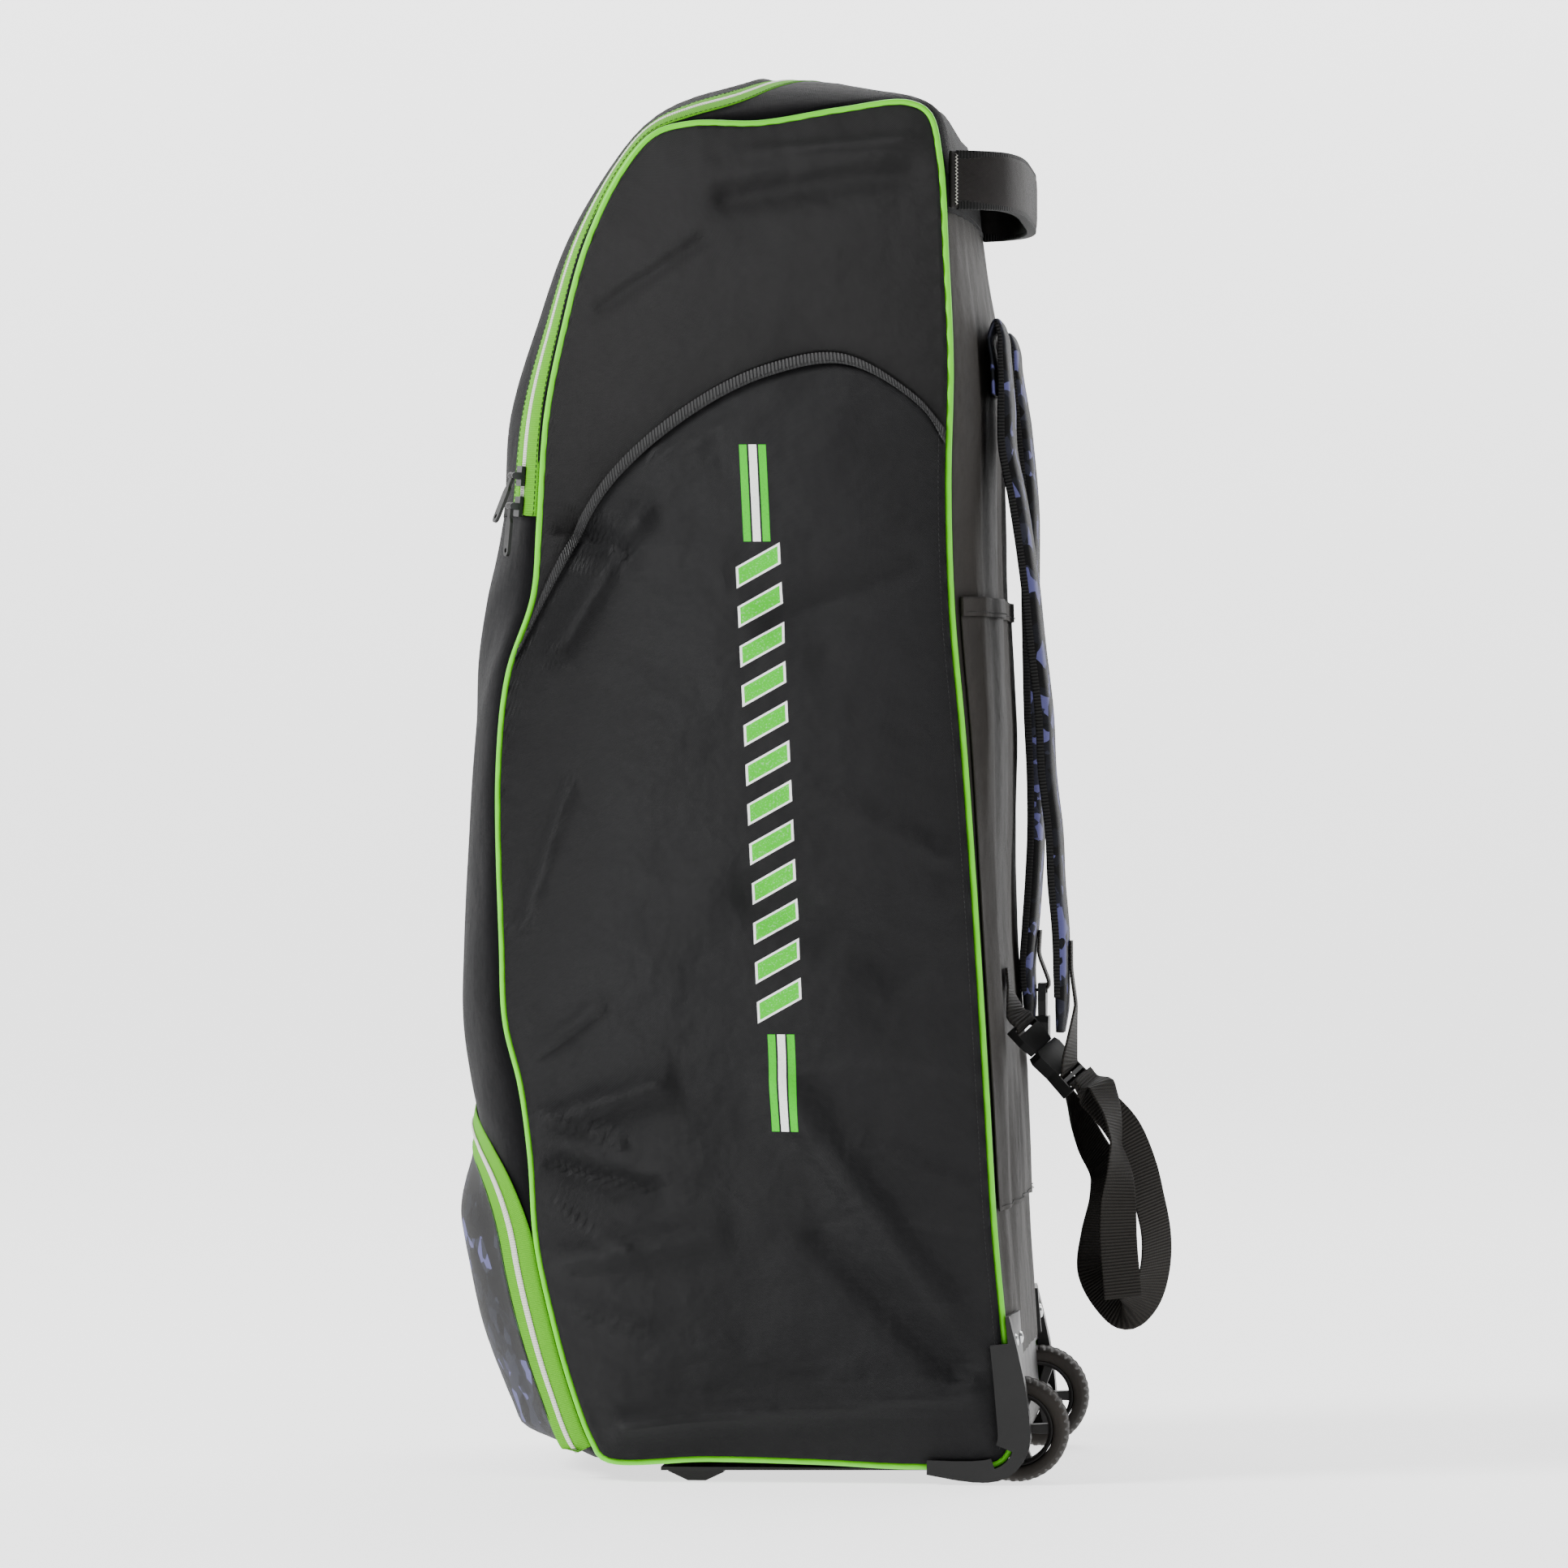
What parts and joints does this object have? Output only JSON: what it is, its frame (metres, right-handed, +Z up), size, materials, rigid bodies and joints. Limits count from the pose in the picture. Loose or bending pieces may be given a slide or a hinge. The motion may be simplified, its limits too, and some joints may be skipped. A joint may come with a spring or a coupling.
{
  "type": "wheeled cricket kit bag",
  "caption": "Tall upright wheeled cricket kit bag in black cloth with lime piping, pale green zips, padded shoulder straps, moulded base, corner guards and wheels.",
  "frame": {"origin": "middle of the overall box on the floor", "axes": "+X towards the back and the wheels, +Y towards the bag's left, +Z up"},
  "size_m": [0.4712, 0.3828, 0.9151],
  "materials": {
    "black_cloth": "woven polyester, matt with a slight sheen",
    "grey_cloth": "fine woven polyester, matt",
    "facet_cloth": "printed woven polyester",
    "ribbed_hem": "cross-ribbed binding tape",
    "lime_piping": "smooth vinyl cord",
    "green_tape": "woven zip tape",
    "ivory_coil": "moulded nylon coil",
    "black_webbing": "ribbed webbing",
    "black_moulding": "fine moulded texture",
    "tyre_rubber": "grooved rubber",
    "dark_metal": "satin",
    "silver_metal": "satin"
  },
  "bodies": {
    "bag": {"lid": "black_cloth", "top_yoke": "black_cloth", "front_panel": "black_cloth", "side_panel_right": "black_cloth", "side_panel_left": "black_cloth", "side_pocket_right": "black_cloth", "side_pocket_left": "black_cloth", "base_panel": "black_cloth", "haul_handle": "black_cloth", "back_panel": "grey_cloth", "back_slip_pocket": "grey_cloth", "back_slip_hem": "grey_cloth", "pocket_face": "facet_cloth", "shoulder_strap_right": "facet_cloth", "shoulder_strap_left": "facet_cloth", "side_binding_right": "ribbed_hem", "side_binding_left": "ribbed_hem", "piping_right": "lime_piping", "piping_left": "lime_piping", "zip_tape_body": "green_tape", "zip_tape_lid": "green_tape", "pocket_tape_outer": "green_tape", "pocket_tape_inner": "green_tape", "zip_coil": "ivory_coil", "pocket_coil": "ivory_coil", "anchor_right": "black_webbing", "anchor_left": "black_webbing", "tail_loop": "black_webbing", "tail_end": "black_webbing", "buckle_female_right": "black_moulding", "buckle_male_right": "black_moulding", "buckle_female_left": "black_moulding", "buckle_male_left": "black_moulding", "moulded_base": "black_moulding", "corner_guard_right": "black_moulding", "corner_guard_left": "black_moulding", "foot_right": "black_moulding", "foot_left": "black_moulding", "slider_upper": "dark_metal", "slider_lower": "dark_metal", "slider_pocket": "dark_metal", "axle_right": "silver_metal", "axle_left": "silver_metal", "rivet_right_1": "silver_metal", "rivet_right_2": "silver_metal", "rivet_left_1": "silver_metal", "rivet_left_2": "silver_metal"},
    "wheel_right": {"wheel_tyre_right": "tyre_rubber", "wheel_rim_right": "black_moulding"},
    "wheel_left": {"wheel_tyre_left": "tyre_rubber", "wheel_rim_left": "black_moulding"},
    "pull_upper": {"pull_upper": "black_moulding"},
    "pull_lower": {"pull_lower": "black_moulding"},
    "pull_pocket": {"pull_pocket": "black_moulding"}
  },
  "joints": [
    {"name": "wheel_right_spin", "type": "hinge", "parent": "bag", "child": "wheel_right", "pos_m": [0.1384, -0.146, 0.034], "axis": [0, 1, 0], "continuous": true},
    {"name": "wheel_left_spin", "type": "hinge", "parent": "bag", "child": "wheel_left", "pos_m": [0.1384, 0.146, 0.034], "axis": [0, 1, 0], "continuous": true},
    {"name": "pull_upper_swing", "type": "hinge", "parent": "bag", "child": "pull_upper", "pos_m": [-0.18718, -0.16124, 0.6495], "axis": [-0.462, 0.8861, 0.0386], "range_deg": [0, 110]},
    {"name": "pull_lower_swing", "type": "hinge", "parent": "bag", "child": "pull_lower", "pos_m": [-0.18849, -0.16155, 0.62981], "axis": [-0.4712, 0.8806, 0.0502], "range_deg": [0, 30]},
    {"name": "pull_pocket_swing", "type": "hinge", "parent": "bag", "child": "pull_pocket", "pos_m": [-0.17048, 0.16662, 0.05784], "axis": [0.4107, 0.899, 0.1519], "range_deg": [0, 110]}
  ]
}
